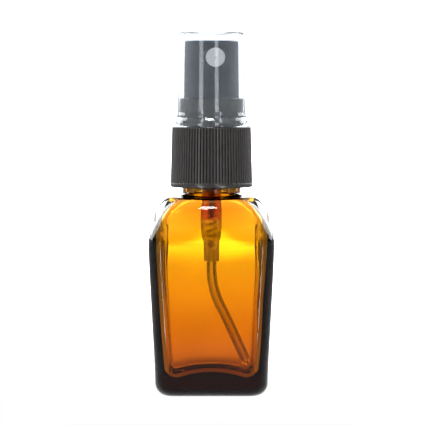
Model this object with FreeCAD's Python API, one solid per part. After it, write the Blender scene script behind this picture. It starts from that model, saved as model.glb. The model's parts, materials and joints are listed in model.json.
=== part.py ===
"""Fine-mist spray bottle: a square glass bottle of about 30 ml with a screw-on finger pump and a clear overcap.

Millimetres, +Z up. The origin is the centre of the bottle's base, and the flat front of the bottle faces -Y.
Each function below makes one physical piece of the product, and main() writes one STEP per piece.
"""

import FreeCAD
import Part
import math
import os

V = FreeCAD.Vector
UP = V(0, 0, 1)
ORIGIN = V(0, 0, 0)

# Glass bottle, outside.
BASE_HALF_WIDTH = 14.9
SHOULDER_HALF_WIDTH = 17.0
SHOULDER_LINE_Z = 41.7
SHOULDER_TOP_Z = 53.1
SHOULDER_TOP_HALF_WIDTH = 10.5
BODY_CORNER_RADIUS = 4.4
BASE_EDGE_RADIUS = 3.4
PUSH_UP_RADIUS = 9.0
PUSH_UP_DEPTH = 1.1

# Glass bottle, inside.
FLOOR_RIM_Z = 4.0
FLOOR_CENTRE_Z = 7.8
FLOOR_DOME_RADIUS = 32.0
CAVITY_BASE_HALF_WIDTH = 11.9
CAVITY_SHOULDER_HALF_WIDTH = 14.0
CAVITY_SHOULDER_Z = 40.8
CAVITY_TOP_Z = 52.0
CAVITY_TOP_HALF_WIDTH = 10.2
CAVITY_CORNER_RADIUS = 2.2
FLOOR_EDGE_RADIUS = 2.8

# Screw finish that the bottle and the closure share.
NECK_RADIUS = 7.8
NECK_FLARE = 1.4
NECK_BORE_RADIUS = 5.0
LIP_Z = 68.6
LIP_ROUND = 0.7
THREAD_PITCH = 3.175
THREAD_HEIGHT = 1.05
BOTTLE_THREAD_Z = 58.8
BOTTLE_THREAD_TURNS = 1.5
CLOSURE_THREAD_START_DEG = 200.0
CLOSURE_THREAD_TURNS = 1.25
THREAD_GAP = 0.25

# Closure: ribbed skirt, deck, and the collar that the overcap snaps over.
SKIRT_BOTTOM_Z = 55.6
SKIRT_BOTTOM_RADIUS = 11.12
SKIRT_TOP_RADIUS = 10.68
RIB_BOTTOM_Z = 56.8
RIB_COUNT = 80
RIB_DEPTH = 0.3
DECK_BOTTOM_Z = 70.6
DECK_TOP_Z = 72.0
DECK_HOLE_RADIUS = 4.35
COLLAR_TOP_Z = 79.7
COLLAR_RADIUS = 8.6
COLLAR_BORE_RADIUS = 7.75
COLLAR_BEAD_Z = 74.8
COLLAR_BEAD_PROUD = 0.12

# Pump housing, from its flange on the bottle's lip down to the dip tube's socket.
GASKET_TOP_Z = 69.5
FLANGE_TOP_Z = 70.5
FLANGE_RADIUS = 7.5
HOUSING_TOP_Z = 74.4
HOUSING_NECK_RADIUS = 4.1
CYLINDER_RADIUS = 3.8
CYLINDER_BORE_RADIUS = 2.9
CYLINDER_FLOOR_Z = 56.4
SPRING_WELL_RADIUS = 2.6
SPRING_WELL_BORE_RADIUS = 1.95
SPRING_WELL_FLOOR_Z = 41.9
SPRING_WELL_CONE_Z = 42.0
SOCKET_RADIUS = 2.17
SOCKET_TOP_Z = 40.8
SOCKET_BOTTOM_Z = 35.6
TUBE_STOP_Z = 38.8
BALL_RADIUS = 1.0
BALL_Z = 40.2
BALL_BORE_RADIUS = 1.2
BALL_STOP_Z = 41.4
BALL_STOP_RADIUS = 0.85

# Moving pump parts, at rest with the pump up.
STROKE = 4.4
STEM_RADIUS = 1.6
STEM_BORE_RADIUS = 0.8
STEM_TOP_Z = 87.7
STEM_BOTTOM_Z = 64.1
STEM_COLLAR_Z = 67.8
STEM_COLLAR_HEIGHT = 1.0
STEM_COLLAR_RADIUS = 2.7
STEM_SEAL_HEIGHT = 0.7
GUIDE_BORE_RADIUS = 1.66
ROD_TAIL_Z = 46.5
ROD_TAIL_RADIUS = 0.8
ROD_HEAD_Z = 60.2
ROD_HEAD_RADIUS = 1.75
PISTON_SEAT_Z = 61.7
PISTON_TOP_Z = 65.4
RUNNING_GAP = 0.03

# Finger actuator and its nozzle.
ACTUATOR_TOP_Z = 95.3
ACTUATOR_BOTTOM_Z = 77.6
ACTUATOR_TOP_RADIUS = 7.34
ACTUATOR_BOTTOM_RADIUS = 7.5
ACTUATOR_WALL = 1.0
NOZZLE_Z = 90.7
NOZZLE_RADIUS = 2.6
NOZZLE_HEADING_DEG = 8.5
ORIFICE_RADIUS = 0.15

# Clear overcap.
OVERCAP_TOP_Z = 98.0
OVERCAP_BOTTOM_Z = 72.1
OVERCAP_TOP_RADIUS = 8.82
OVERCAP_FOOT_Z = 75.6
OVERCAP_FOOT_RADIUS = 9.34
OVERCAP_RIM_RADIUS = 10.3
OVERCAP_BORE_RADIUS = 8.76
OVERCAP_TOP_BORE_RADIUS = 8.12

# Dip tube.
TUBE_RADIUS = 1.35
TUBE_BORE_RADIUS = 0.75
TUBE_BEND_Z = 34.8
TUBE_BEND_RADIUS = 24.6
TUBE_LEAN_DEG = 29.0
TUBE_HEADING_DEG = 34.0
TUBE_END_Z = 7.1


def revolve(outline):
    """A full turn of a closed outline in the XZ plane, given as (radius, height) points.

    A point given as (radius, height, via_radius, via_height) is reached by an arc through the via point.
    """
    edges = []
    for start, end in zip(outline, outline[1:] + outline[:1]):
        a = V(start[0], 0, start[1])
        b = V(end[0], 0, end[1])
        if len(end) == 4:
            edges.append(Part.Arc(a, V(end[2], 0, end[3]), b).toShape())
        else:
            edges.append(Part.LineSegment(a, b).toShape())
    return Part.Face(Part.Wire(edges)).revolve(ORIGIN, UP, 360)


def tube(outer, inner, low, high):
    """A plain ring or tube on the axis."""
    ring = Part.makeCylinder(outer, high - low, V(0, 0, low))
    return ring.cut(Part.makeCylinder(inner, high - low, V(0, 0, low)))


def round_edges(solid, radius, chosen):
    """Fillets the edges for which chosen(edge) is true."""
    return solid.makeFillet(radius, [e for e in solid.Edges if chosen(e)])


def is_ring_at(radius, z, slack=0.05):
    """A test for the full circular edge of that radius at that height."""

    def test(edge):
        curve = edge.Curve
        return (
            isinstance(curve, Part.Circle)
            and abs(curve.Radius - radius) < slack
            and abs(curve.Center.z - z) < slack
            and abs(curve.Axis.z) > 0.9
        )

    return test


def on_heading(solid, degrees):
    """The solid turned about the vertical axis."""
    turned = solid.copy()
    turned.rotate(ORIGIN, UP, degrees)
    return turned


def rounded_square(half, corner, z):
    """A square outline with round corners, centred on the axis."""
    flat = half - corner
    diagonal = flat + corner / math.sqrt(2)
    edges = []
    for quarter in range(4):
        turn = quarter * math.pi / 2

        def at(x, y):
            return V(x * math.cos(turn) - y * math.sin(turn), x * math.sin(turn) + y * math.cos(turn), z)

        edges.append(Part.LineSegment(at(half, -flat), at(half, flat)).toShape())
        edges.append(Part.Arc(at(half, flat), at(diagonal, diagonal), at(flat, half)).toShape())
    return Part.Wire(edges)


def square_reach(half, corner, angle):
    """Distance from the axis to the edge of a rounded square, along one heading."""
    near, far = sorted((abs(math.cos(angle)), abs(math.sin(angle))))
    flat = half - corner
    if half * near / far <= flat:
        return half / far
    along = flat * (near + far)
    return along + math.sqrt(along**2 - 2 * flat**2 + corner**2)


def softened_square(half, corner, roundness, z):
    """A rounded square on its way to a circle: roundness 0 keeps the square and 1 gives the circle."""

    def at(angle):
        reach = (1 - roundness) * square_reach(half, corner, angle) + roundness * half
        return V(reach * math.cos(angle), reach * math.sin(angle), z)

    side_end = math.atan2(half - corner, half)
    edges = []
    for quarter in range(4):
        middle = quarter * math.pi / 2
        start, end = at(middle - side_end), at(middle + side_end)
        if roundness < 0.001:
            edges.append(Part.LineSegment(start, end).toShape())
        else:
            edges.append(Part.Arc(start, at(middle), end).toShape())
        edges.append(Part.Arc(end, at(middle + math.pi / 4), at(middle + math.pi / 2 - side_end)).toShape())
    return Part.Wire(edges)


def shouldered_body(low, low_half, edge_radius, shoulder, shoulder_half, top, top_half, corner):
    """A tapered body of rounded-square section: round bottom edge, straight walls, shoulder closing to a circle."""
    edge_steps = 5
    shoulder_steps = 9
    lean = (shoulder_half - low_half) / (shoulder - low)
    foot = []
    for step in range(edge_steps + 1):
        angle = step / edge_steps * math.pi / 2
        inset = edge_radius * (1 - math.sin(angle))
        rise = edge_radius * (1 - math.cos(angle))
        foot.append(rounded_square(low_half + lean * rise - inset, corner - inset * 0.75, low + rise))
    crown = []
    for step in range(shoulder_steps + 1):
        angle = step / shoulder_steps * math.pi / 2
        half = top_half + (shoulder_half - top_half) * math.cos(angle)
        roundness = math.sin(angle) ** 1.2
        z = shoulder + (top - shoulder) * math.sin(angle)
        crown.append(softened_square(half, half * corner / shoulder_half, roundness, z))
    lower = Part.makeLoft(foot, True, False)
    wall = Part.makeLoft([foot[-1], crown[0]], True, True)
    upper = Part.makeLoft(crown, True, False)
    return lower.fuse([wall, upper])


def thread(root_radius, crest_radius, start_z, turns, root_width, crest_width):
    """A helical ridge of trapezoid section. Its root is sunk a little so that it joins the wall."""
    sink = 0.2 if crest_radius > root_radius else -0.2
    spine = Part.Wire(Part.makeLongHelix(THREAD_PITCH, THREAD_PITCH * turns, root_radius).Edges)
    base = root_radius - sink
    corners = [
        V(base, 0, -root_width / 2),
        V(crest_radius, 0, -crest_width / 2),
        V(crest_radius, 0, crest_width / 2),
        V(base, 0, root_width / 2),
    ]
    ridge = spine.makePipeShell([Part.makePolygon(corners + corners[:1])], True, True)
    ridge.translate(V(0, 0, start_z))
    return ridge


def coil_spring(mean_radius, wire_radius, low, high, turns):
    """A compression spring with its wire centred on mean_radius, standing between two heights."""
    rise = high - low - 2 * wire_radius
    spine = Part.Wire(Part.makeLongHelix(rise / turns, rise, mean_radius).Edges)
    section = Part.Wire(Part.makeCircle(wire_radius, V(mean_radius, 0, 0), V(0, 1, 0)))
    spring = spine.makePipeShell([section], True, True)
    spring.translate(V(0, 0, low + wire_radius))
    return spring


def bottle():
    """Amber glass: square body with a thick base, curved shoulder, and a neck with a continuous thread."""
    outside = shouldered_body(
        0, BASE_HALF_WIDTH, BASE_EDGE_RADIUS, SHOULDER_LINE_Z, SHOULDER_HALF_WIDTH,
        SHOULDER_TOP_Z, SHOULDER_TOP_HALF_WIDTH, BODY_CORNER_RADIUS,
    )
    neck_root_z = SHOULDER_TOP_Z - 1.5
    neck = revolve([
        (0, neck_root_z),
        (NECK_RADIUS + NECK_FLARE, neck_root_z),
        (NECK_RADIUS + NECK_FLARE, SHOULDER_TOP_Z + 0.1),
        (NECK_RADIUS, SHOULDER_TOP_Z + 0.1),
        (NECK_RADIUS, LIP_Z),
        (0, LIP_Z),
    ])
    neck = round_edges(neck, NECK_FLARE - 0.02, is_ring_at(NECK_RADIUS, SHOULDER_TOP_Z + 0.1))
    neck = round_edges(neck, LIP_ROUND, is_ring_at(NECK_RADIUS, LIP_Z))
    ridge = thread(NECK_RADIUS, NECK_RADIUS + THREAD_HEIGHT, BOTTLE_THREAD_Z, BOTTLE_THREAD_TURNS, 1.9, 1.0)
    outside = outside.fuse([neck, ridge])
    return outside.cut(bottle_cavity()).removeSplitter()


def bottle_cavity():
    """The space inside the glass, neck bore and push-up included."""
    room = shouldered_body(
        FLOOR_RIM_Z, CAVITY_BASE_HALF_WIDTH, FLOOR_EDGE_RADIUS, CAVITY_SHOULDER_Z, CAVITY_SHOULDER_HALF_WIDTH,
        CAVITY_TOP_Z, CAVITY_TOP_HALF_WIDTH, CAVITY_CORNER_RADIUS,
    )
    dome = Part.makeSphere(FLOOR_DOME_RADIUS, V(0, 0, FLOOR_CENTRE_Z - FLOOR_DOME_RADIUS))
    bore = Part.makeCylinder(NECK_BORE_RADIUS, LIP_Z - CAVITY_TOP_Z + 2, V(0, 0, CAVITY_TOP_Z - 1))
    ball_radius = (PUSH_UP_RADIUS**2 + PUSH_UP_DEPTH**2) / (2 * PUSH_UP_DEPTH)
    push_up = Part.makeSphere(ball_radius, V(0, 0, PUSH_UP_DEPTH - ball_radius))
    return room.cut(dome).fuse([bore, push_up])


def closure():
    """Black screw cap: ribbed skirt with an inside thread, a deck with a hole, and the collar above it."""
    bead = COLLAR_RADIUS + COLLAR_BEAD_PROUD
    rim = 0.45
    bore_radius = NECK_RADIUS + THREAD_HEIGHT + 0.2
    body = revolve([
        (bore_radius, SKIRT_BOTTOM_Z),
        (SKIRT_BOTTOM_RADIUS - rim, SKIRT_BOTTOM_Z),
        (SKIRT_BOTTOM_RADIUS, SKIRT_BOTTOM_Z + rim),
        (SKIRT_TOP_RADIUS, DECK_TOP_Z - rim),
        (SKIRT_TOP_RADIUS - rim, DECK_TOP_Z),
        (COLLAR_RADIUS, DECK_TOP_Z),
        (COLLAR_RADIUS, COLLAR_BEAD_Z - 0.4),
        (bead, COLLAR_BEAD_Z),
        (COLLAR_RADIUS, COLLAR_BEAD_Z + 0.4),
        (COLLAR_RADIUS, COLLAR_TOP_Z - 0.25),
        (COLLAR_RADIUS - 0.25, COLLAR_TOP_Z),
        (COLLAR_BORE_RADIUS, COLLAR_TOP_Z),
        (COLLAR_BORE_RADIUS, DECK_TOP_Z),
        (DECK_HOLE_RADIUS, DECK_TOP_Z),
        (DECK_HOLE_RADIUS, DECK_BOTTOM_Z),
        (bore_radius, DECK_BOTTOM_Z),
    ])
    body = body.cut(skirt_grooves())
    turns_before = CLOSURE_THREAD_START_DEG / 360
    start_z = BOTTLE_THREAD_Z - THREAD_PITCH / 2 + THREAD_PITCH * turns_before
    ridge = thread(bore_radius, NECK_RADIUS + THREAD_GAP, start_z, CLOSURE_THREAD_TURNS, 1.6, 0.8)
    return body.fuse(on_heading(ridge, CLOSURE_THREAD_START_DEG))


def skirt_grooves():
    """The grooves between the skirt's ribs, leaning with its draft."""
    lean = (SKIRT_BOTTOM_RADIUS - SKIRT_TOP_RADIUS) / (DECK_TOP_Z - SKIRT_BOTTOM_Z)
    width = 2 * math.pi * SKIRT_BOTTOM_RADIUS / RIB_COUNT * 0.55

    def outline(z):
        surface = SKIRT_BOTTOM_RADIUS - lean * (z - SKIRT_BOTTOM_Z)
        corners = [
            V(surface - RIB_DEPTH, -width * 0.28, z),
            V(surface - RIB_DEPTH, width * 0.28, z),
            V(surface + 1, width * 1.4, z),
            V(surface + 1, -width * 1.4, z),
        ]
        return Part.makePolygon(corners + corners[:1])

    groove = Part.makeLoft([outline(RIB_BOTTOM_Z), outline(DECK_TOP_Z + 1)], True, True)
    return [on_heading(groove, 360 / RIB_COUNT * i) for i in range(RIB_COUNT)]


def overcap():
    """Clear dust cover: drafted cup with a flared foot that sits on the closure's shoulder."""
    top_round = 0.75
    roof = 1.0
    gate_radius = 2.3
    lip_top_z = OVERCAP_BOTTOM_Z + 0.45
    body = revolve([
        (OVERCAP_BORE_RADIUS, OVERCAP_BOTTOM_Z),
        (OVERCAP_RIM_RADIUS - 0.1, OVERCAP_BOTTOM_Z),
        (OVERCAP_RIM_RADIUS, OVERCAP_BOTTOM_Z + 0.1),
        (OVERCAP_RIM_RADIUS, lip_top_z),
        (OVERCAP_FOOT_RADIUS, OVERCAP_FOOT_Z, OVERCAP_FOOT_RADIUS + 0.26, (lip_top_z + OVERCAP_FOOT_Z) / 2),
        (OVERCAP_TOP_RADIUS, OVERCAP_TOP_Z),
        (gate_radius + 0.3, OVERCAP_TOP_Z),
        (gate_radius, OVERCAP_TOP_Z + 0.3),
        (0, OVERCAP_TOP_Z + 0.3),
        (0, OVERCAP_TOP_Z - roof),
        (OVERCAP_TOP_BORE_RADIUS, OVERCAP_TOP_Z - roof),
        (OVERCAP_BORE_RADIUS, COLLAR_TOP_Z),
    ])
    body = round_edges(body, top_round, is_ring_at(OVERCAP_TOP_RADIUS, OVERCAP_TOP_Z))
    return round_edges(body, 0.5, is_ring_at(OVERCAP_TOP_BORE_RADIUS, OVERCAP_TOP_Z - roof))


def neck_gasket():
    """Soft sealing ring between the bottle's lip and the housing's flange."""
    return tube(FLANGE_RADIUS, NECK_BORE_RADIUS + 0.3, LIP_Z + 0.02, GASKET_TOP_Z)


def pump_housing():
    """Stepped cylinder that hangs in the bottle: piston bore, spring well, ball seat and tube socket."""
    seat_z = BALL_Z - 0.75 - math.sqrt(0.5) + BALL_BORE_RADIUS
    passage = 0.6
    body = revolve([
        (TUBE_RADIUS, SOCKET_BOTTOM_Z),
        (SOCKET_RADIUS - 0.2, SOCKET_BOTTOM_Z),
        (SOCKET_RADIUS, SOCKET_BOTTOM_Z + 0.2),
        (SOCKET_RADIUS, SOCKET_TOP_Z),
        (SPRING_WELL_RADIUS, SPRING_WELL_CONE_Z),
        (SPRING_WELL_RADIUS, CYLINDER_FLOOR_Z - 1.5),
        (CYLINDER_RADIUS, CYLINDER_FLOOR_Z - 0.3),
        (CYLINDER_RADIUS, GASKET_TOP_Z),
        (FLANGE_RADIUS, GASKET_TOP_Z),
        (FLANGE_RADIUS, FLANGE_TOP_Z),
        (HOUSING_NECK_RADIUS, FLANGE_TOP_Z),
        (HOUSING_NECK_RADIUS, HOUSING_TOP_Z),
        (CYLINDER_BORE_RADIUS, HOUSING_TOP_Z),
        (CYLINDER_BORE_RADIUS, CYLINDER_FLOOR_Z),
        (SPRING_WELL_BORE_RADIUS, CYLINDER_FLOOR_Z),
        (SPRING_WELL_BORE_RADIUS, SPRING_WELL_FLOOR_Z),
        (BALL_STOP_RADIUS, SPRING_WELL_FLOOR_Z),
        (BALL_STOP_RADIUS, BALL_STOP_Z),
        (BALL_BORE_RADIUS, BALL_STOP_Z),
        (BALL_BORE_RADIUS, seat_z),
        (passage, seat_z - BALL_BORE_RADIUS + passage),
        (passage, TUBE_STOP_Z),
        (TUBE_RADIUS, TUBE_STOP_Z),
    ])
    vent = Part.makeCylinder(0.3, CYLINDER_RADIUS + 1, V(0, 0, GASKET_TOP_Z - 2.6), V(0, 1, 0))
    return body.cut(vent)


def stem_guide():
    """Snap ring that closes the housing, guides the stem and keeps the closure on the pump."""
    top = HOUSING_TOP_Z + 1.0
    plug_bottom = STEM_COLLAR_Z + STEM_COLLAR_HEIGHT + STEM_SEAL_HEIGHT
    plug_radius = CYLINDER_BORE_RADIUS
    skirt_radius = 5.2
    skirt_bottom = DECK_TOP_Z + 0.12
    return revolve([
        (GUIDE_BORE_RADIUS, plug_bottom),
        (plug_radius, plug_bottom),
        (plug_radius, HOUSING_TOP_Z),
        (HOUSING_NECK_RADIUS, HOUSING_TOP_Z),
        (HOUSING_NECK_RADIUS, skirt_bottom),
        (skirt_radius, skirt_bottom),
        (skirt_radius, top - 0.4),
        (skirt_radius - 0.4, top),
        (GUIDE_BORE_RADIUS, top),
    ])


def stem_seal():
    """Soft washer under the guide that the stem's collar closes against when the pump is up."""
    low = STEM_COLLAR_Z + STEM_COLLAR_HEIGHT
    return tube(CYLINDER_BORE_RADIUS, GUIDE_BORE_RADIUS, low + 0.02, low + STEM_SEAL_HEIGHT)


def dip_tube():
    """Soft clear tube, straight in its socket and then bowed towards the bottom of the bottle."""
    lean = math.radians(TUBE_LEAN_DEG)
    centre = V(TUBE_BEND_RADIUS, 0, TUBE_BEND_Z)

    def on_bend(angle):
        return centre + V(-TUBE_BEND_RADIUS * math.cos(angle), 0, -TUBE_BEND_RADIUS * math.sin(angle))

    bend_end = on_bend(lean)
    along = V(math.sin(lean), 0, -math.cos(lean))
    end = bend_end + along * ((bend_end.z - TUBE_END_Z) / math.cos(lean))
    path = Part.Wire([
        Part.LineSegment(V(0, 0, TUBE_STOP_Z), V(0, 0, TUBE_BEND_Z)).toShape(),
        Part.Arc(V(0, 0, TUBE_BEND_Z), on_bend(lean / 2), bend_end).toShape(),
        Part.LineSegment(bend_end, end).toShape(),
    ])
    top = V(0, 0, TUBE_STOP_Z)
    outer = path.makePipeShell([Part.Wire(Part.makeCircle(TUBE_RADIUS, top))], True, False)
    inner = path.makePipeShell([Part.Wire(Part.makeCircle(TUBE_BORE_RADIUS, top))], True, False)
    return on_heading(outer.cut(inner), TUBE_HEADING_DEG)


def inlet_ball():
    """Steel check ball on the seat at the foot of the chamber."""
    return Part.makeSphere(BALL_RADIUS, V(0, 0, BALL_Z))


def stem():
    """Hollow plunger stem with the collar that stops it at the top of the stroke."""
    shoulder = STEM_COLLAR_Z + STEM_COLLAR_HEIGHT
    return revolve([
        (STEM_BORE_RADIUS, STEM_BOTTOM_Z),
        (STEM_RADIUS, STEM_BOTTOM_Z),
        (STEM_RADIUS, STEM_COLLAR_Z),
        (STEM_COLLAR_RADIUS, STEM_COLLAR_Z),
        (STEM_COLLAR_RADIUS, shoulder),
        (STEM_RADIUS, shoulder),
        (STEM_RADIUS, STEM_TOP_Z - 0.3),
        (STEM_RADIUS - 0.3, STEM_TOP_Z),
        (STEM_BORE_RADIUS, STEM_TOP_Z),
    ])


def piston_rod():
    """Rod pressed into the stem: flats for the liquid to pass, a conical valve head, and a tail in the spring."""
    top = STEM_BOTTOM_Z + 4.5
    neck_z = PISTON_SEAT_Z + 0.4
    rod = revolve([
        (0, ROD_TAIL_Z),
        (ROD_TAIL_RADIUS - 0.3, ROD_TAIL_Z),
        (ROD_TAIL_RADIUS, ROD_TAIL_Z + 0.8),
        (ROD_TAIL_RADIUS, ROD_HEAD_Z),
        (ROD_HEAD_RADIUS, ROD_HEAD_Z),
        (ROD_HEAD_RADIUS, ROD_HEAD_Z + 0.6),
        (STEM_BORE_RADIUS, neck_z),
        (STEM_BORE_RADIUS, top),
        (0, top),
    ])
    flat_depth = 0.25
    for side in (-1, 1):
        block = Part.makeBox(2, 1, top - neck_z)
        block.translate(V(-1, -0.5 + side * (STEM_BORE_RADIUS - flat_depth + 0.5), neck_z))
        rod = rod.cut(block)
    return rod


def piston():
    """Soft piston: wiping lips in the cylinder, a seat for the rod's head, and a sleeve that slides on the stem."""
    wipe = CYLINDER_BORE_RADIUS - 0.02
    waist = CYLINDER_BORE_RADIUS - 0.45
    sleeve = STEM_RADIUS + RUNNING_GAP
    seat_bore = 1.15
    low = PISTON_SEAT_Z - 0.1
    return revolve([
        (seat_bore + 0.1, low + 0.1),
        (waist, low + 0.3),
        (wipe, low - 0.1),
        (wipe, low + 0.4),
        (waist, low + 1.0),
        (waist, PISTON_TOP_Z - 1.1),
        (wipe, PISTON_TOP_Z - 0.6),
        (wipe, PISTON_TOP_Z),
        (sleeve, PISTON_TOP_Z),
        (sleeve, STEM_BOTTOM_Z - 0.8),
        (seat_bore, STEM_BOTTOM_Z - 1.2),
        (seat_bore, low + 0.2),
    ])


def return_spring():
    """Steel spring between the floor of the spring well and the rod's head."""
    return coil_spring(1.35, 0.2, SPRING_WELL_FLOOR_Z + 0.02, ROD_HEAD_Z - 0.02, 14)


def precompression_spring():
    """Small steel spring between the piston and the stem's collar."""
    return coil_spring(2.15, 0.17, PISTON_TOP_Z + 0.02, STEM_COLLAR_Z - 0.02, 3.5)


def nozzle_axis_frame(solid):
    """Places a solid made along +Z, with its front at z=0, so that it faces out of the actuator."""
    placed = solid.copy()
    placed.rotate(ORIGIN, V(1, 0, 0), 90)
    placed.translate(V(0, -nozzle_face_radius(), NOZZLE_Z))
    return on_heading(placed, NOZZLE_HEADING_DEG)


def nozzle_face_radius():
    """Distance from the axis to the nozzle's flat face, just inside the actuator's curved wall."""
    wall = ACTUATOR_TOP_RADIUS + 0.05
    return math.sqrt(wall**2 - NOZZLE_RADIUS**2) + 0.22


def actuator():
    """Black finger button: hollow skirt, stem socket, cross channel and the nozzle's seat with its pin."""
    roof = 1.3
    dish_radius = 22.0
    socket_bottom_z = 80.2
    draft = (ACTUATOR_BOTTOM_RADIUS - ACTUATOR_TOP_RADIUS) / (ACTUATOR_TOP_Z - ACTUATOR_BOTTOM_Z)
    inner_top = ACTUATOR_TOP_RADIUS - ACTUATOR_WALL
    inner_bottom = ACTUATOR_BOTTOM_RADIUS - ACTUATOR_WALL
    shell = revolve([
        (0, ACTUATOR_TOP_Z - roof),
        (inner_top, ACTUATOR_TOP_Z - roof),
        (inner_bottom, ACTUATOR_BOTTOM_Z),
        (ACTUATOR_BOTTOM_RADIUS, ACTUATOR_BOTTOM_Z),
        (ACTUATOR_TOP_RADIUS, ACTUATOR_TOP_Z),
        (0, ACTUATOR_TOP_Z),
    ])
    shell = round_edges(shell, 0.55, is_ring_at(ACTUATOR_TOP_RADIUS, ACTUATOR_TOP_Z))
    dish = Part.makeSphere(dish_radius, V(0, 0, ACTUATOR_TOP_Z + dish_radius - 0.55))
    shell = shell.cut(dish)
    post = Part.makeCylinder(2.7, ACTUATOR_TOP_Z - roof - socket_bottom_z, V(0, 0, socket_bottom_z))
    seat_radius = NOZZLE_RADIUS + 0.75
    seat = nozzle_axis_frame(Part.makeCylinder(seat_radius, nozzle_face_radius(), V(0, 0, -nozzle_face_radius())))
    body = shell.fuse([post, seat])
    stem_hole = Part.makeCylinder(STEM_RADIUS, STEM_TOP_Z - socket_bottom_z, V(0, 0, socket_bottom_z))
    channel_lift = 1.95
    riser = Part.makeCylinder(0.8, NOZZLE_Z + channel_lift + 0.3 - STEM_TOP_Z, V(0, 0, STEM_TOP_Z))
    pocket_depth = 3.9
    pocket = Part.makeCylinder(NOZZLE_RADIUS, pocket_depth + 3, V(0, 0, -pocket_depth))
    pin = Part.makeCylinder(1.3, pocket_depth - 0.9, V(0, 0, -pocket_depth))
    channel_length = nozzle_face_radius() - pocket_depth
    channel = Part.makeCylinder(0.55, channel_length, V(0, channel_lift, -nozzle_face_radius()))
    body = body.cut([stem_hole, riser, nozzle_axis_frame(pocket.cut(pin)), nozzle_axis_frame(channel)])
    return body.removeSplitter()


def nozzle_insert():
    """Spray nozzle: a small cup pressed over the actuator's pin, with the orifice in its face."""
    depth = 3.6
    face = 0.75
    cup = revolve([
        (ORIFICE_RADIUS, -face),
        (ORIFICE_RADIUS, -0.3),
        (ORIFICE_RADIUS + 0.22, 0),
        (NOZZLE_RADIUS - 0.12, 0),
        (NOZZLE_RADIUS, -0.12),
        (NOZZLE_RADIUS, -depth),
        (1.34, -depth),
        (1.34, -face),
    ])
    return nozzle_axis_frame(cup)


PIECES = {
    "bottle": bottle,
    "closure": closure,
    "overcap": overcap,
    "neck_gasket": neck_gasket,
    "pump_housing": pump_housing,
    "stem_guide": stem_guide,
    "stem_seal": stem_seal,
    "dip_tube": dip_tube,
    "inlet_ball": inlet_ball,
    "stem": stem,
    "piston_rod": piston_rod,
    "piston": piston,
    "return_spring": return_spring,
    "precompression_spring": precompression_spring,
    "actuator": actuator,
    "nozzle_insert": nozzle_insert,
}


def main():
    os.makedirs("parts", exist_ok=True)
    for name, make in PIECES.items():
        shape = make()
        shape.exportStep(f"parts/{name}.step")
        print(name, len(shape.Solids), "solid", round(shape.Volume, 1), "mm3", "valid", shape.isValid())


main()
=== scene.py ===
"""Looks for the fine-mist spray bottle, in the CAD's frame: base centre at the origin, front towards -Y."""

import json
import math

import bmesh
import bpy
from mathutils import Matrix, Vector, noise

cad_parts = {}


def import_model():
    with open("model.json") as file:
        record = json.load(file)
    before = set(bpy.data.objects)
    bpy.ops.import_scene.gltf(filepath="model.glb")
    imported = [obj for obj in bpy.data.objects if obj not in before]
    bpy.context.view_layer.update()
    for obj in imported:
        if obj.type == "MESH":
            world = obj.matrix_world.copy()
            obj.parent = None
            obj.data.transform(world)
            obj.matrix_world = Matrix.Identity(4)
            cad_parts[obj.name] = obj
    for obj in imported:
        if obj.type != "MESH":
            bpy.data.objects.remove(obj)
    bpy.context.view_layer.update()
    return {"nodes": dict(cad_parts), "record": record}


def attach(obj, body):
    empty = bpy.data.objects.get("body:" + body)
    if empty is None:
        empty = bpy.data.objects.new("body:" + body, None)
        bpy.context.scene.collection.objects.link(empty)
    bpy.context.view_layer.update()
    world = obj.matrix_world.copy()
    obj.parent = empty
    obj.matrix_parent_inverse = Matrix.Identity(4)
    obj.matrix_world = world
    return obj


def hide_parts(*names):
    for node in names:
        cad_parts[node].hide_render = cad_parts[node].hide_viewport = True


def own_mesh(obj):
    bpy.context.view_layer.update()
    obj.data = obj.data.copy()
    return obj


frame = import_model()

MM = 0.001
TAU = 2 * math.pi
NODES = frame["nodes"]

# ---------------------------------------------------------------- driving dimensions (all in millimetres)

# the bottle's outside
BASE_HALF, BASE_CORNER, HEEL_ROUND = 14.9, 4.4, 3.4
WALL_TOP, WALL_RUN, WALL_EASE = 41.7, 2.1, 5.0
CROWN_TOP, CROWN_HALF, CROWN_POWER = 53.1, 10.5, 1.2
PUSH_UP_RADIUS, PUSH_UP_RISE = 9.0, 1.1
NECK_RADIUS, NECK_FLARE = 7.8, 1.4
LIP_TOP, LIP_ROUND = 68.6, 0.7

# the screw thread on the neck, and its partner in the closure
THREAD_PITCH, THREAD_START, THREAD_TURNS, THREAD_DEPTH = 3.175, 58.8, 1.5, 1.0
THREAD_HALF_WIDTH, THREAD_FLANK = 0.95, 0.45
PARTNER_LEAD, PARTNER_TURNS, PARTNER_DEPTH = 200 / 360, 1.25, 0.95
PARTNER_HALF_WIDTH, PARTNER_FLANK = 0.8, 0.4
THREAD_RUN_OUT = 0.07  # of a turn

# the bottle's hollow
HOLLOW_LOW, HOLLOW_HALF_LOW = 4.0, 11.9
HOLLOW_CORNER, CORNER_GROWTH, GROWTH_START, GROWTH_LENGTH = 2.2, 0.8, 32.0, 14.0
HOLLOW_WALL_TOP, HOLLOW_WALL_RUN, HOLLOW_WALL_EASE = 40.8, 2.4, 6.0
HOLLOW_TOP, HOLLOW_TOP_HALF, HOLLOW_POWER = 52.0, 10.6, 3.0
FLOOR_MIDDLE, FLOOR_DOME, FLOOR_FILLET = 7.8, 32.0, 2.6
BORE_RADIUS, BORE_ROUND = 5.0, 0.8

# how far the glass wanders from its true shape, the size of the wander's cells, and the heights it spans
OUTSIDE_WAVER, OUTSIDE_CELL, OUTSIDE_WAVER_LOW, OUTSIDE_WAVER_TOP = 0.05, 9.0, 4, 53
INSIDE_WAVER, INSIDE_CELL, INSIDE_WAVER_TOP, INSIDE_WAVER_FADE = 0.22, 11.0, 50.7, 3

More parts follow.
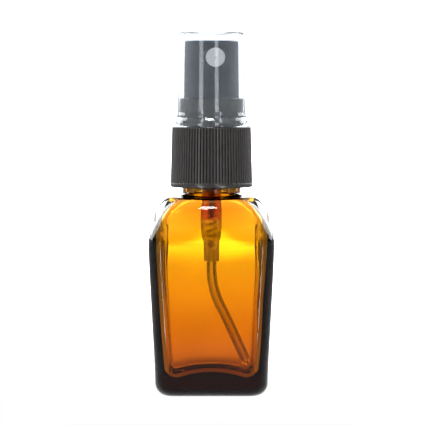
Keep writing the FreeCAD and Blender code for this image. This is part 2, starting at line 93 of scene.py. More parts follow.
# the closure
SKIRT_LOW, SKIRT_RADIUS, SKIRT_LEAN = 55.6, 11.12, 0.44 / 16.4
SKIRT_BORE, DECK_LOW, DECK_TOP, COLLAR_TOP = 9.05, 70.6, 72.0, 79.7
RIB_COUNT, RIB_LOW, RIB_HIGH, RIB_DEPTH = 80, 56.8, 71.8, 0.55
GROOVE_EDGE, GROOVE_SIDE = 0.72, 0.6  # half the groove's width and its round side, in half pitches

# the overcap
OVERCAP_LOW, OVERCAP_CEILING, OVERCAP_RIM, OVERCAP_TOP = 72.1, 97.0, 98.0, 98.3
OVERCAP_FOOT_RADIUS, OVERCAP_BORE = 10.3, 8.76

# the pump's housing: the spring's well, the check ball's chamber and cone, and the tube's socket
WELL_RADIUS, WELL_LOW = 1.95, 41.9
BALL_BORE, BALL_HEIGHT, BALL_STOP, BALL_STOP_RADIUS = 1.2, 40.2, 41.4, 0.85
CONE_DROP = 0.75 + math.sqrt(0.5)  # a 45 degree cone a little below the ball, as in the CAD
PASSAGE_RADIUS = 0.6
SOCKET_LOW, SOCKET_TOP = 35.6, 38.8
FLANGE_RADIUS, FLANGE_LOW, FLANGE_TOP, SNAP_RIM_RADIUS, SNAP_RIM_TOP = 7.5, 69.5, 70.5, 4.1, 74.4

# the dip tube
TUBE_OUTER, TUBE_INNER = 1.35, 0.75
TUBE_LEAN, TUBE_HEADING = math.radians(29.0), math.radians(34)
TUBE_BEND, TUBE_BEND_TOP, TUBE_LOW = 24.6, 34.8, 7.1

HEADINGS = 256  # points in each ring of the bottle
SWEEP = math.pi / 2 * 0.985  # the crown's curve stops just short of flat


# ---------------------------------------------------------------- mesh helpers


def new_object(name, mesh):
    obj = bpy.data.objects.new(name, mesh)
    bpy.context.scene.collection.objects.link(obj)
    return obj


def grid_mesh(name, rings, closed_profile=False):
    """A smooth mesh through rings of points. A ring of one point is a pole."""
    bm = bmesh.new()
    rows = [[bm.verts.new(Vector(p) * MM) for p in ring] for ring in rings]
    pairs = list(zip(rows, rows[1:]))
    if closed_profile:
        pairs.append((rows[-1], rows[0]))
    for a, b in pairs:
        count = max(len(a), len(b))
        for j in range(count):
            k = (j + 1) % count
            if len(a) == 1:
                bm.faces.new((a[0], b[j], b[k]))
            elif len(b) == 1:
                bm.faces.new((a[j], b[0], a[k]))
            else:
                bm.faces.new((a[j], b[j], b[k], a[k]))
    bmesh.ops.recalc_face_normals(bm, faces=bm.faces)
    for face in bm.faces:
        face.smooth = True
    mesh = bpy.data.meshes.new(name)
    bm.to_mesh(mesh)
    bm.free()
    return new_object(name, mesh)


def stands_for(piece, node):
    """The piece takes over from its CAD node: it rides on the same body."""
    body = next(b for b, row in frame["record"]["behaviour"]["bodies"].items() if node in row)
    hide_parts(node)
    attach(piece, body)
    return piece


def smoothstep(t):
    t = min(max(t, 0), 1)
    return t * t * (3 - 2 * t)


def fillet_outline(corners, segments=6):
    """The outline through corners, each (radius, height) or (radius, height, fillet), with fillets drawn."""
    count = len(corners)
    points = []
    for i, corner in enumerate(corners):
        here = Vector(corner[:2])
        fillet = corner[2] if len(corner) > 2 else 0
        if not fillet:
            points.append((here.x, here.y))
            continue
        before = Vector(corners[i - 1][:2]) - here
        after = Vector(corners[(i + 1) % count][:2]) - here
        half_angle = before.angle(after) / 2
        reach = min(fillet / math.tan(half_angle), before.length * 0.49, after.length * 0.49)
        start = here + before.normalized() * reach
        end = here + after.normalized() * reach
        radius = reach * math.tan(half_angle)
        middle = (before.normalized() + after.normalized()).normalized()
        centre = here + middle * radius / math.sin(half_angle)
        sweep = (start - centre).angle(end - centre)
        for k in range(segments + 1):
            share = k / segments
            a = math.sin((1 - share) * sweep) / math.sin(sweep)
            b = math.sin(share * sweep) / math.sin(sweep)
            point = centre + (start - centre) * a + (end - centre) * b
            points.append((point.x, point.y))
    return points


def split_long(outline, longest):
    """More points on the long straight runs of a closed outline, so that bump and normals stay even."""
    out = []
    for here, after in zip(outline, outline[1:] + outline[:1]):
        out.append(here)
        run = math.hypot(after[0] - here[0], after[1] - here[1])
        parts = max(1, math.ceil(run / longest))
        for k in range(1, parts):
            t = k / parts
            out.append((here[0] + (after[0] - here[0]) * t, here[1] + (after[1] - here[1]) * t))
    return out


def lathe(name, corners, segments=128, fillet_segments=6, longest=2.0, radius_at=None):
    """An outline turned about the vertical axis. radius_at(radius, height, angle) may shape the ring."""
    outline = split_long(fillet_outline(corners, fillet_segments), longest)
    rings = []
    for radius, height in outline:
        if radius < 1e-6:
            rings.append([(0, 0, height)])
            continue
        ring = []
        for j in range(segments):
            angle = TAU * j / segments
            r = radius_at(radius, height, angle) if radius_at else radius
            ring.append((r * math.cos(angle), r * math.sin(angle), height))
        rings.append(ring)
    poles = [i for i, ring in enumerate(rings) if len(ring) == 1]
    if poles:
        # the two poles are neighbours in the closed outline: the mesh runs from one to the other
        start = poles[0]
        rings = rings[start:] + rings[:start]
        if len(rings[1]) == 1:
            rings = rings[1:] + rings[:1]
    return grid_mesh(name, rings, closed_profile=not poles)


def round_section(centre, across, up, radius, count):
    """A ring of points round one point of a path."""
    turns = [TAU * j / count for j in range(count)]
    return [centre + across * radius * math.cos(turn) + up * radius * math.sin(turn) for turn in turns]


def path_direction(path, i):
    return (path[min(i + 1, len(path) - 1)] - path[max(i - 1, 0)]).normalized()


def swept_tube(name, path, outer, inner, segments=40):
    """A tube along a path that stays in one vertical plane, with plain cut ends whose edges are broken."""
    side = (path[-1] - path[0]).cross(Vector((0, 0, 1))).normalized()

    def ring(i, radius):
        up = path_direction(path, i).cross(side).normalized()
        return round_section(path[i], side, up, radius, segments)

    last = len(path) - 1
    edge = 0.06
    head_push = (path[0] - path[1]).normalized() * edge
    foot_push = (path[-1] - path[-2]).normalized() * edge
    rings = [[p + head_push for p in ring(0, radius)] for radius in (inner + edge, outer - edge)]
    rings += [ring(i, outer) for i in range(last + 1)]
    rings += [[p + foot_push for p in ring(last, radius)] for radius in (outer - edge, inner + edge)]
    rings += [ring(i, inner) for i in range(last, -1, -1)]
    return grid_mesh(name, rings, closed_profile=True)


def coil(name, mean_radius, wire_radius, low, high, active_turns):
    """A compression spring with one closed turn at each end."""
    closed = 1.0
    turns = active_turns + 2 * closed
    rise_closed = 2 * wire_radius
    height = high - low - 2 * wire_radius
    steps = int(turns * 40)
    path = []
    for i in range(steps + 1):
        t = turns * i / steps
        if t < closed:
            z = rise_closed * t
        elif t > turns - closed:
            z = height - rise_closed * (turns - t)
        else:
            z = rise_closed + (height - 2 * rise_closed) * (t - closed) / active_turns
        x, y = mean_radius * math.cos(TAU * t), mean_radius * math.sin(TAU * t)
        path.append(Vector((x, y, low + wire_radius + z)))
    rings = []
    for i, point in enumerate(path):
        out = Vector((point.x, point.y, 0)).normalized()
        up = out.cross(path_direction(path, i)).normalized()
        rings.append(round_section(point, out, up, wire_radius, 12))
    return grid_mesh(name, [[path[0]]] + rings + [[path[-1]]])


# ---------------------------------------------------------------- bottle


def square_radius(half, corner, angle):
    """Distance from the axis to a rounded square's edge, along one heading."""
    c, s = abs(math.cos(angle)), abs(math.sin(angle))
    if c < s:
        c, s = s, c
    flat = half - corner
    if half * s / c <= flat:
        return half / c
    along = flat * (c + s)
    return along + math.sqrt(max(along * along - (2 * flat * flat - corner * corner), 0))


def heading(j):
    """Headings sit closer together round the four corners."""
    u = TAU * j / HEADINGS
    return u + 0.6 / 4 * math.sin(4 * u)


def crown_ring(angle, low_z, top_z, low_half, top_half, corner, power):
    """One section of the crown, a rounded square on its way to a circle: its outline and its height."""
    half = top_half + (low_half - top_half) * math.cos(angle)
    roundness = math.sin(angle) ** power
    corner = half * corner / low_half

    def radius(g):
        return (1 - roundness) * square_radius(half, corner, g) + roundness * half

    return radius, low_z + (top_z - low_z) * math.sin(angle)


def thread_height(z, angle):
    """How far the screw thread stands off the neck."""
    best = 0.0
    for turn in range(3):
        along = turn + angle / TAU
        if along > THREAD_TURNS:
            continue
        distance = abs(z - (THREAD_START + THREAD_PITCH * along))
        ends = min(along / THREAD_RUN_OUT, (THREAD_TURNS - along) / THREAD_RUN_OUT, 1)
        ridge = smoothstep((THREAD_HALF_WIDTH - distance) / THREAD_FLANK)
        best = max(best, THREAD_DEPTH * ridge * max(ends, 0))
    return best


def eased(z, lean, top, length):
    """How far a leaning wall has run out at height z, with the lean dying away below the top."""
    over = max(z - (top - length), 0)
    return lean * (z - over * over / (2 * length))


def wall_half(z):
    return BASE_HALF + eased(z, WALL_RUN / WALL_TOP, WALL_TOP, WALL_EASE)


def circle(radius):
    return lambda g: radius


def square(half, corner):
    return lambda g: square_radius(half, corner, g)


def bottle_outside():
    """Sections of the outer surface, (outline, height), from the push-up's edge to the lip."""
    sections = []
    ball = (PUSH_UP_RADIUS**2 + PUSH_UP_RISE**2) / (2 * PUSH_UP_RISE)
    for k in range(1, 8):
        r = PUSH_UP_RADIUS * k / 8
        sections.append((circle(r), PUSH_UP_RISE - ball + math.sqrt(ball * ball - r * r)))
    sections.append((circle(PUSH_UP_RADIUS), 0.03))

    def heel(rise, inset):
        half = BASE_HALF + WALL_RUN / WALL_TOP * rise - inset
        return square(half, BASE_CORNER - 0.75 * inset)

    rim = PUSH_UP_RADIUS + 0.2
    foot = heel(0, HEEL_ROUND)
    for k in range(1, 5):
        sections.append((lambda g, t=k / 5: rim + (foot(g) - rim) * t, 0.0))
    for k in range(13):
        a = k / 12 * math.pi / 2
        rise = HEEL_ROUND * (1 - math.cos(a))
        sections.append((heel(rise, HEEL_ROUND * (1 - math.sin(a))), rise))
    for k in range(1, 28):
        z = HEEL_ROUND + (WALL_TOP - HEEL_ROUND) * k / 28
        sections.append((square(wall_half(z), BASE_CORNER), z))
    for k in range(29):
        sections.append(crown_ring(
            k / 28 * SWEEP, WALL_TOP, CROWN_TOP, wall_half(WALL_TOP), CROWN_HALF, BASE_CORNER, CROWN_POWER,
        ))
    for k in range(9):
        a = k / 8 * math.pi / 2
        z = CROWN_TOP + 0.02 + NECK_FLARE * (1 - math.cos(a))
        sections.append((circle(NECK_RADIUS + NECK_FLARE * (1 - math.sin(a))), z))
    for k in range(83):
        z = CROWN_TOP + 1.6 + 0.16 * k
        sections.append((lambda g, z=z: NECK_RADIUS + thread_height(z, g % TAU), z))
    for k in range(7):
        a = k / 6 * math.pi / 2
        z = LIP_TOP - LIP_ROUND * (1 - math.sin(a))
        sections.append((circle(NECK_RADIUS - LIP_ROUND * (1 - math.cos(a))), z))
    return sections


def hollow_side(height, angle):
    """Distance from the axis to the hollow's wall. The inner corners thicken towards the shoulder."""
    return square_radius(hollow_half(height), hollow_corner(height), angle)


def hollow_half(height):
    lean = HOLLOW_WALL_RUN / (HOLLOW_WALL_TOP - HOLLOW_LOW)
    run = eased(height, lean, HOLLOW_WALL_TOP, HOLLOW_WALL_EASE)
    return HOLLOW_HALF_LOW - HOLLOW_LOW * lean + run


def hollow_corner(height):
    return HOLLOW_CORNER + CORNER_GROWTH * smoothstep((height - GROWTH_START) / GROWTH_LENGTH)


def hollow_floor(r):
    return FLOOR_MIDDLE - FLOOR_DOME + math.sqrt(FLOOR_DOME * FLOOR_DOME - r * r)


def floor_fillet(g):
    """The round between wall and domed floor on one heading: its centre, and where it meets the two."""
    slope = (hollow_side(30, g) - hollow_side(10, g)) / 20
    unit = math.hypot(1, slope)
    dome_z = FLOOR_MIDDLE - FLOOR_DOME
    z = 8.0
    for _ in range(30):
        r = hollow_side(z, g) - FLOOR_FILLET * unit
        z = dome_z + math.sqrt((FLOOR_DOME + FLOOR_FILLET) ** 2 - r * r)
    centre = Vector((hollow_side(z, g) - FLOOR_FILLET * unit, z))
    wall = centre + Vector((1, -slope)) * FLOOR_FILLET / unit
    floor = centre + (Vector((0, dome_z)) - centre).normalized() * FLOOR_FILLET
    return centre, wall, floor


def hollow_column(g):
    """The inner surface on one heading, from the lip's bore to the floor's middle."""
    bore_low = HOLLOW_TOP + BORE_ROUND
    bore_top = LIP_TOP - 0.4
    column = [(BORE_RADIUS + 0.5, LIP_TOP), (BORE_RADIUS + 0.15, LIP_TOP - 0.12), (BORE_RADIUS, bore_top)]
    column += [(BORE_RADIUS, bore_top - (bore_top - bore_low) * k / 12) for k in range(1, 13)]
    for k in range(1, 5):
        a = k * math.pi / 8
        column.append((BORE_RADIUS + BORE_ROUND * (1 - math.cos(a)), bore_low - BORE_ROUND * math.sin(a)))
    column += [(7.0, HOLLOW_TOP), (8.8, HOLLOW_TOP)]
    for k in range(28, -1, -1):
        a = k / 28 * SWEEP
        corner = hollow_corner(HOLLOW_WALL_TOP + (HOLLOW_TOP - HOLLOW_WALL_TOP) * math.sin(a))
        half = hollow_half(HOLLOW_WALL_TOP)
        radius, z = crown_ring(a, HOLLOW_WALL_TOP, HOLLOW_TOP, half, HOLLOW_TOP_HALF, corner, HOLLOW_POWER)
        column.append((radius(g), z))
    centre, wall, floor = floor_fillet(g)
    for k in range(1, 20):
        z = HOLLOW_WALL_TOP + (wall.y - HOLLOW_WALL_TOP) * k / 20
        column.append((hollow_side(z, g), z))
    start = math.atan2(wall.y - centre.y, wall.x - centre.x)
    end = math.atan2(floor.y - centre.y, floor.x - centre.x)
    for k in range(11):
        a = start + (end - start) * k / 10
        column.append((centre.x + FLOOR_FILLET * math.cos(a), centre.y + FLOOR_FILLET * math.sin(a)))
    for k in range(1, 12):
        r = floor.x * (1 - k / 12)
        column.append((r, hollow_floor(r)))
    return column


def waver(x, y, z, depth, cell):
    """Hot glass never sets quite even: a gentle wander of the surface."""
    return depth * noise.noise(Vector((x / cell, y / cell, z / (cell * 1.6))))


def bottle_mesh():
    headings = [heading(j) for j in range(HEADINGS)]
    rings = [[(0, 0, PUSH_UP_RISE)]]
    for radius, z in bottle_outside():
        ring = []
        for g in headings:
            r = radius(g)
            if OUTSIDE_WAVER_LOW < z < OUTSIDE_WAVER_TOP:
                r += waver(r * math.cos(g), r * math.sin(g), z, OUTSIDE_WAVER, OUTSIDE_CELL)
            ring.append((r * math.cos(g), r * math.sin(g), z))
        rings.append(ring)
    columns = [hollow_column(g) for g in headings]
    for row in zip(*columns):
        ring = []
        for g, (r, z) in zip(headings, row):
            if z < INSIDE_WAVER_TOP and r > 4:
                fade = min((INSIDE_WAVER_TOP - z) / INSIDE_WAVER_FADE, 1)
                r += fade * waver(r * math.cos(g) + 40, r * math.sin(g), z, INSIDE_WAVER, INSIDE_CELL)
            ring.append((r * math.cos(g), r * math.sin(g), z))
        rings.append(ring)
    rings.append([(0, 0, FLOOR_MIDDLE)])
    return grid_mesh("bottle_glass", rings)


# ---------------------------------------------------------------- the other pieces


def overcap_mesh():
    top = [(0, OVERCAP_TOP), (2.3, OVERCAP_TOP, 0.2), (2.55, OVERCAP_RIM, 0.15), (8.82, OVERCAP_RIM, 0.8)]
    foot = [
        (9.33, 76.0, 2.0), (9.6, 75.0, 0.35), (9.62, 74.5, 0.25), (10.1, 73.8, 0.3),
        (OVERCAP_FOOT_RADIUS, 73.0, 0.4), (OVERCAP_FOOT_RADIUS, OVERCAP_LOW, 0.15),
    ]
    bore = [(OVERCAP_BORE, OVERCAP_LOW, 0.2), (OVERCAP_BORE, 75.2), (OVERCAP_BORE, COLLAR_TOP, 2.0)]
    ceiling = [(8.12, OVERCAP_CEILING, 0.6), (0, OVERCAP_CEILING)]
    return lathe("overcap_shell", top + foot + bore + ceiling, segments=192)


def skirt_ribs(radius, height, angle):
    """Round grip ribs on the closure's skirt."""
    foot_run, head_run = 0.25, 0.2
    depth = RIB_DEPTH * min((height - RIB_LOW) / foot_run, 1, (RIB_HIGH - height) / head_run)
    wave = abs((angle / TAU * RIB_COUNT) % 1 - 0.5) * 2
    groove = min(max((GROOVE_EDGE - wave) / GROOVE_SIDE, 0), 1)
    return radius - depth * (1 - math.sqrt(1 - groove * groove))


def closure_thread(radius, height, angle):
    """The screw thread in the closure's bore."""
    for turn in range(3):
        along = turn + angle / TAU - PARTNER_LEAD
        if not 0 < along < PARTNER_TURNS:
            continue
        distance = abs(height - (THREAD_START - THREAD_PITCH / 2 + THREAD_PITCH * (turn + angle / TAU)))
        ends = min(along / THREAD_RUN_OUT, (PARTNER_TURNS - along) / THREAD_RUN_OUT, 1)
        if distance < PARTNER_HALF_WIDTH:
            ridge = smoothstep((PARTNER_HALF_WIDTH - distance) / PARTNER_FLANK)
            return radius - PARTNER_DEPTH * ridge * ends
    return radius


def closure_radius(radius, height, angle):
    """Where the closure's outline is shaped: ribs outside, thread in the bore."""
    if radius > 9.9 and RIB_LOW < height < RIB_HIGH:
        return skirt_ribs(radius, height, angle)
    if abs(radius - SKIRT_BORE) < 0.05 and 56.7 < height < 70.2:
        return closure_thread(radius, height, angle)
    return radius


def closure_mesh():
    bore = [(SKIRT_BORE, SKIRT_LOW + 0.5 * k) for k in range(29, -1, -1)]
    foot = [(11.0, SKIRT_LOW, 0.4), (SKIRT_RADIUS, 56.1)]
    heights = (56.5, RIB_LOW, 56.92, 57.06, 57.3, 71.3, 71.5, 71.62)
    skirt = [(SKIRT_RADIUS - SKIRT_LEAN * (z - SKIRT_LOW), z) for z in heights]
    top = [
        (10.68, DECK_TOP, 0.3), (8.6, DECK_TOP, 0.12), (8.6, 74.4), (8.72, 74.8, 0.3), (8.6, 75.2),
        (8.6, COLLAR_TOP, 0.25), (7.75, COLLAR_TOP, 0.2), (7.75, DECK_TOP, 0.15), (4.35, DECK_TOP, 0.1),
        (4.35, DECK_LOW, 0.1), (SKIRT_BORE, DECK_LOW, 0.1),
    ]
    return lathe(
        "closure_shell", bore + foot + skirt + top,
        segments=RIB_COUNT * 12, fillet_segments=4, longest=1.5, radius_at=closure_radius,
    )


def housing_mesh():
    """The pump's stepped body, with the cone that its check ball rests on."""
    seat = BALL_HEIGHT - CONE_DROP + BALL_BORE
    cylinder, step = 2.9, 56.4
    inside = [
        (SNAP_RIM_RADIUS, SNAP_RIM_TOP, 0.15), (cylinder, SNAP_RIM_TOP, 0.15), (cylinder, step, 0.1),
        (WELL_RADIUS, step, 0.1), (WELL_RADIUS, WELL_LOW, 0.1), (BALL_STOP_RADIUS, WELL_LOW),
        (BALL_STOP_RADIUS, BALL_STOP), (BALL_BORE, BALL_STOP), (BALL_BORE, seat),
        (PASSAGE_RADIUS, seat - BALL_BORE + PASSAGE_RADIUS), (PASSAGE_RADIUS, SOCKET_TOP),
        (TUBE_OUTER, SOCKET_TOP), (TUBE_OUTER, SOCKET_LOW, 0.08),
    ]
    outside = [
        (2.17, SOCKET_LOW, 0.2), (2.17, 40.8, 0.3), (2.6, 42.0, 0.6), (2.6, 54.9, 0.6), (3.8, 56.1, 0.5),
        (3.8, FLANGE_LOW, 0.2), (FLANGE_RADIUS, FLANGE_LOW, 0.15), (FLANGE_RADIUS, FLANGE_TOP, 0.15),
        (SNAP_RIM_RADIUS, FLANGE_TOP, 0.1),
    ]
    return lathe("pump_housing_shell", inside + outside, segments=96, longest=1.5)


def tube_path():
    """The dip tube's middle line: straight in the socket, one bow, straight to the corner."""
    flat = [(0, SOCKET_TOP - (SOCKET_TOP - TUBE_BEND_TOP) * k / 4) for k in range(4)]
    for k in range(31):
        a = TUBE_LEAN * k / 30
        flat.append((TUBE_BEND * (1 - math.cos(a)), TUBE_BEND_TOP - TUBE_BEND * math.sin(a)))
    bow_r, bow_z = flat[-1]
    run = (bow_z - TUBE_LOW) / math.cos(TUBE_LEAN)
    for k in range(1, 17):
        along = run * k / 16
        flat.append((bow_r + along * math.sin(TUBE_LEAN), bow_z - along * math.cos(TUBE_LEAN)))
    return [Vector((r * math.cos(TUBE_HEADING), r * math.sin(TUBE_HEADING), z)) for r, z in flat]


# ---------------------------------------------------------------- node trees


class Graph:
    """A node tree, with short ways to add the nodes used here."""

    def __init__(self, tree):
        self.nodes, self.links = tree.nodes, tree.links

    def feed(self, socket, value):
        if isinstance(value, (int, float)):
            socket.default_value = value
        else:
            self.links.new(value, socket)

    def math(self, operation, *values):
        node = self.nodes.new("ShaderNodeMath")
        node.operation = operation
        for socket, value in zip(node.inputs, values):
            self.feed(socket, value)
        return node.outputs[0]

    def product(self, first, *others):
        for other in others:
            first = self.math("MULTIPLY", first, other)
        return first

    def remap(self, value, low, high, to_low, to_high, smooth=True):
        node = self.nodes.new("ShaderNodeMapRange")
        node.interpolation_type = "SMOOTHSTEP" if smooth else "LINEAR"
        for key, number in (("From Min", low), ("From Max", high), ("To Min", to_low), ("To Max", to_high)):
            node.inputs[key].default_value = number
        self.links.new(value, node.inputs["Value"])
        return node.outputs["Result"]

    def axes(self, kind="Object"):
        split = self.nodes.new("ShaderNodeSeparateXYZ")
        self.links.new(self.nodes.new("ShaderNodeTexCoord").outputs[kind], split.inputs["Vector"])
        return split.outputs

    def noise(self, scale, detail=3.0):
        texture = self.nodes.new("ShaderNodeTexNoise")
        texture.inputs["Scale"].default_value = scale
        texture.inputs["Detail"].default_value = detail
        texture.inputs["Roughness"].default_value = 0.5
        self.links.new(self.nodes.new("ShaderNodeTexCoord").outputs["Object"], texture.inputs["Vector"])
        return texture.outputs["Fac"]

    def ramp(self, level, stops, interpolation="LINEAR"):
        """Colours, each given as (place from 0 to 1, (red, green, blue)), picked by a level from 0 to 1."""
        node = self.nodes.new("ShaderNodeValToRGB")
        node.color_ramp.interpolation = interpolation
        elements = node.color_ramp.elements
        while len(elements) < len(stops):
            elements.new(0.5)
        for element, (place, colour) in zip(elements, stops):
            element.position = place
            element.color = (*colour, 1)
        self.links.new(level, node.inputs["Fac"])
        return node.outputs["Color"]


class Look(Graph):
    """A new material round its Principled shader."""

    def __init__(self, name, **values):
        self.material = bpy.data.materials.new(name)
        self.material.use_nodes = True
        super().__init__(self.material.node_tree)
        self.shader = self.nodes["Principled BSDF"]
        for key, value in values.items():
            self.shader.inputs[key.replace("_", " ")].default_value = value

    def grain(self, texture, strength, distance):
        node = self.nodes.new("ShaderNodeBump")
        node.inputs["Strength"].default_value = strength
        node.inputs["Distance"].default_value = distance
        self.links.new(texture, node.inputs["Height"])
        self.links.new(node.outputs["Normal"], self.shader.inputs["Normal"])

    def mottle(self, colour, scale, detail, dark, light):
        """Base colour that wanders a little about one value."""
        ends = [(i, [min(c * share, 1) for c in colour]) for i, share in enumerate((dark, light))]
        self.links.new(self.ramp(self.noise(scale, detail), ends), self.shader.inputs["Base Color"])

    def polish(self, scale, low, high, detail=3.0):
        """Roughness that wanders between two values."""
        wander = self.remap(self.noise(scale, detail), 0.3, 0.7, low, high)
        self.links.new(wander, self.shader.inputs["Roughness"])


def give(obj, mat):
    obj.data.materials.clear()
    obj.data.materials.append(mat)
    return obj


# ---------------------------------------------------------------- materials


def amber_glass():
    """Solid amber glass, darker where it is thick. Its colour is painted by height with light and shade: pale
    yellow at the shoulder where the backlight shines through, browner towards the base.
    """
    look = Look("amber_glass", IOR=1.52, Roughness=0.0, Transmission_Weight=1.0)
    look.shader.inputs["Specular Tint"].default_value = (0.3, 0.3, 0.3, 1)
    top = 60
    # painted light and shade: colours by height in mm, palest at 41 mm, standing in for how the backlight
    # passes through the glass
    painted_light_tints = [
        (7, (1.0, 0.61, 0.3)), (12, (1.0, 0.635, 0.25)), (20, (0.92, 0.63, 0.22)), (28, (0.93, 0.70, 0.2)),
        (36, (0.90, 0.75, 0.25)), (41, (1.0, 0.87, 0.5)), (45.5, (1.0, 0.80, 0.32)), (50, (0.95, 0.57, 0.2)),
        (56, (1.0, 1.0, 0.7)),
    ]
    level = look.remap(look.axes()["Z"], 0.0, top * MM, 0, 1, smooth=False)
    tint = look.ramp(level, [(height / top, colour) for height, colour in painted_light_tints])
    look.links.new(tint, look.shader.inputs["Base Color"])
    look.grain(look.noise(120, 1.0), 0.07, 0.0003)
    absorb = look.nodes.new("ShaderNodeVolumeAbsorption")
    absorb.inputs["Color"].default_value = (0.81, 0.70, 0.15, 1)
    absorb.inputs["Density"].default_value = 1000
    look.links.new(absorb.outputs["Volume"], look.nodes["Material Output"].inputs["Volume"])
    return look.material


def black_plastic(name, colour, low, high, grain):
    """Moulded black polypropylene: fine grain, and polish that wanders a little."""
    look = Look(name, IOR=1.49)
    look.mottle(colour, 450, 5.0, 0.8, 1.2)
    look.polish(900, low, high)
    look.grain(look.noise(7000, 4.0), grain, 0.00003)
    return look.material


def clear_plastic(name, colour, roughness, haze, ior=1.49):
    """Clear moulded plastic with a little milky scatter in its wall."""
    look = Look(name, Base_Color=(*colour, 1), Transmission_Weight=1.0 - haze, IOR=ior)
    look.polish(700, roughness * 0.6, roughness * 1.4, detail=4.0)
    look.grain(look.noise(4000, 2.0), 0.15, 0.00002)
    return look.material


def natural_housing():
    """Translucent polypropylene. Its upper part is tinted browner with painted shade, standing in for the
    shade of the rod and spring inside.
    """
    look = Look("natural_housing", Transmission_Weight=0.9, IOR=1.25, Roughness=0.5)
    # painted shade: the base colour turns browner from 45.4 mm up
    painted_shade = look.remap(look.axes()["Z"], 0.0454, 0.0464, 0, 1)
    tint = look.ramp(painted_shade, [(0, (1.0, 0.98, 0.95)), (1, (1.0, 0.6, 0.45))])
    look.links.new(tint, look.shader.inputs["Base Color"])
    look.grain(look.noise(2500, 3.0), 0.15, 0.00004)
    return look.material


def plain_plastic(name, colour, roughness):
    """Opaque moulded plastic or foam in one colour."""
    look = Look(name, IOR=1.5)
    look.mottle(colour, 500, 4.0, 0.93, 1.05)
    look.polish(700, roughness * 0.85, roughness * 1.15)
    look.grain(look.noise(6000, 3.0), 0.12, 0.00002)
    return look.material


def steel(name):
    look = Look(name, Base_Color=(0.62, 0.61, 0.60, 1), Metallic=1.0)
    look.polish(1200, 0.16, 0.3)
    return look.material


# ---------------------------------------------------------------- put it together

metal = steel("spring_steel")
white = plain_plastic("white_plastic", (0.78, 0.78, 0.75), 0.4)

give(stands_for(bottle_mesh(), "bottle"), amber_glass())
give(stands_for(closure_mesh(), "closure"),
     black_plastic("black_closure", (0.018, 0.0160, 0.0154), 0.15, 0.25, 0.35))
give(stands_for(overcap_mesh(), "overcap"),
     clear_plastic("clear_overcap", (0.90, 0.95, 1.0), 0.08, 0.025, ior=1.40))
give(stands_for(housing_mesh(), "pump_housing"), natural_housing())
give(stands_for(swept_tube("dip_tube_smooth", tube_path(), TUBE_OUTER, TUBE_INNER), "dip_tube"),
     clear_plastic("clear_tube", (0.95, 0.95, 0.92), 0.06, 0.08))

return_wire = coil(
    "return_spring_wire", mean_radius=1.35, wire_radius=0.2, low=41.92, high=60.18, active_turns=12,
)
return_spring = stands_for(return_wire, "return_spring")
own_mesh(return_spring)
give(return_spring, metal)
small_wire = coil(
    "precompression_spring_wire", mean_radius=2.15, wire_radius=0.17, low=65.42, high=67.78, active_turns=1.5,
)
small_spring = stands_for(small_wire, "precompression_spring")
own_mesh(small_spring)
give(small_spring, metal)

give(NODES["actuator"], black_plastic("black_actuator", (0.017, 0.024, 0.034), 0.34, 0.46, 0.3))
give(NODES["nozzle_insert"], plain_plastic("grey_nozzle", (0.56, 0.535, 0.505), 0.35))
for name in ("stem_guide", "stem", "piston"):
    give(NODES[name], white)
give(NODES["neck_gasket"], plain_plastic("gasket_foam", (0.7, 0.7, 0.68), 0.7))
give(NODES["stem_seal"], plain_plastic("seal_rubber", (0.05, 0.05, 0.05), 0.6))
give(NODES["piston_rod"], plain_plastic("rod_plastic", (0.03, 0.03, 0.03), 0.4))
give(NODES["inlet_ball"], metal)

# ---------------------------------------------------------------- stage, light, camera (metres)

# the strip's half width out to its soft edge's start and end, and how much that grows for each metre back
STRIP_HALF, STRIP_SOFT_HALF, STRIP_SPREAD, STRIP_START = 0.062, 0.085, 0.062, 0.03
STRIP_NEAR, STRIP_FAR, STRIP_RISE = 1.0, 3.4, 0.12  # radiance at each end, and the distance it takes to rise
PALE, DARK_BESIDE = 0.85, 0.52
GLEAM_START, GLEAM_STRENGTH = -0.016, 14  # the gleams fan out from this y, under the bottle's front face


def strip_glow(table, y, back):
    """The lit strip of table behind the bottle: it brightens with distance, and most near the backdrop."""
    decay = table.math("EXPONENT", table.product(back, -1 / STRIP_RISE))
    rise = table.math("SUBTRACT", STRIP_FAR, table.product(decay, STRIP_FAR - STRIP_NEAR))
    return table.product(rise, table.product(
        table.remap(y, 0.45, 0.8, 1, 2.15),
        table.remap(y, 1.2, 2.4, 1, 0.7),
    ))


def side_gleams(table, x, y, r):
    """Two lit lines on the table in front, which the bottle's sides reflect as pale upright lines."""
    turn = table.math("DIVIDE", x, table.product(table.math("SUBTRACT", y, GLEAM_START), -1.0))
    return table.product(
        table.product(
            table.remap(turn, 0.55, 0.60, 0, 1),
            table.remap(turn, 0.78, 0.73, 0, 1),
            table.remap(r, 0.085, 0.11, 0, 1),
            table.remap(r, 0.6, 0.3, 0, GLEAM_STRENGTH),
        ),
        table.remap(y, -0.04, -0.06, 0, 1),
    )


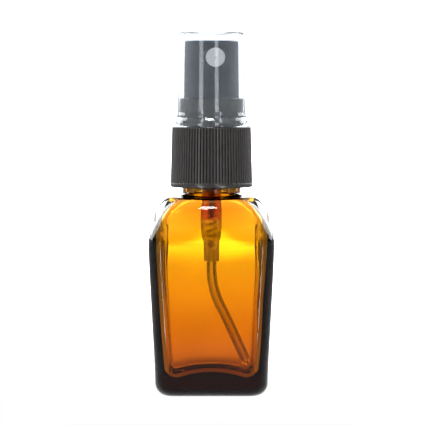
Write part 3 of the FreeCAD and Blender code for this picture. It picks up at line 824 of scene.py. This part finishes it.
def stage_floor():
    """Pale table: brightest towards the lit backdrop, darker beside it, with a painted soft shadow in front.
    """
    bpy.ops.mesh.primitive_plane_add(size=60.0, location=(0, 0, -0.00002))
    floor = bpy.context.object
    floor.name = "stage_floor"
    mat = bpy.data.materials.new("stage_white")
    mat.use_nodes = True
    table = Graph(mat.node_tree)
    table.nodes.clear()
    at = table.axes()
    x, y = table.math("ABSOLUTE", at["X"]), at["Y"]
    r = table.math("SQRT", table.math("ADD", table.product(x, x), table.product(y, y)))
    back = table.math("MAXIMUM", table.math("SUBTRACT", y, STRIP_START), 0.0)
    beside = table.product(
        table.remap(y, -0.02, 0.12, 0, 1),
        table.remap(r, 0.1, 0.3, 0, 1),
        table.remap(r, 2.4, 1.2, 0, 1),
    )
    plain = table.remap(beside, 0, 1, PALE, DARK_BESIDE, smooth=False)
    spread = table.math("SUBTRACT", x, table.product(back, STRIP_SPREAD))
    beam = table.product(
        table.remap(spread, STRIP_SOFT_HALF, STRIP_HALF, 0, 1),
        table.remap(y, -0.2, -0.085, 0, 1),
    )
    extra = table.math("SUBTRACT", strip_glow(table, y, back), plain)
    level = table.math("ADD", plain, table.product(beam, extra))
    # painted shadow: the floor's glow dims in a soft strip in front of the bottle, standing in for the
    # backlit bottle's shadow
    painted_shadow = table.product(table.remap(x, 0.055, 0.02, 0, 0.6), table.remap(y, -0.077, -0.12, 0, 1))
    level = table.product(level, table.math("SUBTRACT", 1.0, painted_shadow))
    level = table.math("ADD", level, side_gleams(table, x, y, r))
    glow = table.nodes.new("ShaderNodeEmission")
    table.feed(glow.inputs["Strength"], level)
    out = table.nodes.new("ShaderNodeOutputMaterial")
    table.links.new(glow.outputs["Emission"], out.inputs["Surface"])
    floor.data.materials.append(mat)


def world():
    """Lit backdrop behind, a soft grey room beside, a faint ceiling and a dark front."""
    studio = bpy.data.worlds.new("studio")
    bpy.context.scene.world = studio
    studio.use_nodes = True
    sky = Graph(studio.node_tree)
    at = sky.axes("Generated")
    full = 4  # the ramp holds strengths as shares of this
    stops = [(-1.0, 0.02), (-0.93, 0.02), (-0.7, 0.3), (-0.15, 0.8), (0.6, 0.8), (0.93, 0.9), (0.975, 3.4)]
    greys = [((back + 1) / 2, [strength / full] * 3) for back, strength in stops]
    room = sky.ramp(sky.math("MULTIPLY_ADD", at["Y"], 0.5, 0.5), greys, "EASE")
    low = sky.product(room, sky.remap(at["Z"], 0.05, 0.25, full, 0.8))
    ceiling = sky.remap(at["Z"], 0.25, 0.6, 0, 0.5)
    backdrop = sky.nodes["Background"]
    backdrop.inputs["Color"].default_value = (1, 1, 1, 1)
    sky.feed(backdrop.inputs["Strength"], sky.math("MAXIMUM", low, ceiling))


def softbox(name, azimuth, elevation, width, height, radiance, shape="RECTANGLE"):
    """An area light on a direction from the bottle's middle; azimuth 0 is in front, positive to the right."""
    distance = 0.9
    a, e = math.radians(azimuth), math.radians(elevation)
    target = Vector((0, 0, 0.06))
    direction = Vector((math.sin(a) * math.cos(e), -math.cos(a) * math.cos(e), math.sin(e)))
    light = bpy.data.lights.new(name, "AREA")
    light.shape = shape
    light.size, light.size_y = width, height
    area = width * height * (math.pi / 4 if shape == "ELLIPSE" else 1)
    light.energy = radiance * math.pi * area
    obj = bpy.data.objects.new(name, light)
    obj.location = target + direction * distance
    obj.rotation_mode = "QUATERNION"
    obj.rotation_quaternion = direction.to_track_quat("Z", "Y")
    bpy.context.scene.collection.objects.link(obj)


def camera():
    data = bpy.data.cameras.new("camera")
    data.sensor_width = 36
    distance, field = 1.0, 0.11475
    data.lens = data.sensor_width * distance / field
    data.clip_start, data.clip_end = 0.01, 50
    obj = bpy.data.objects.new("camera", data)
    aim = Vector((0.00027, 0, 0.0487))
    eye_height = 0.0982
    obj.location = (aim.x, -distance, eye_height)
    obj.rotation_mode = "QUATERNION"
    obj.rotation_quaternion = (obj.location - aim).to_track_quat("Z", "Y")
    bpy.context.scene.collection.objects.link(obj)
    bpy.context.scene.camera = obj


stage_floor()
world()
softbox("strip_left", -36, 2, 0.22, 0.5, 4.3)
softbox("strip_right", 18, 2, 0.2, 0.5, 4.3)
softbox("key", -11, 68, 0.32, 0.22, 50.0, shape="ELLIPSE")
for side, sign in (("left", -1), ("right", 1)):
    softbox(f"rim_{side}", sign * 125, 28, 0.8, 0.55, 7.0)
for side, sign in (("left", -1), ("right", 1)):
    softbox(f"edge_{side}", sign * 152, 15, 0.3, 0.25, 5.0)
camera()

scene = bpy.context.scene
scene.view_settings.view_transform = "Standard"
scene.cycles.use_denoising = True
scene.cycles.max_bounces = 32
scene.cycles.transmission_bounces = 32
scene.cycles.glossy_bounces = 12
scene.cycles.transparent_max_bounces = 32
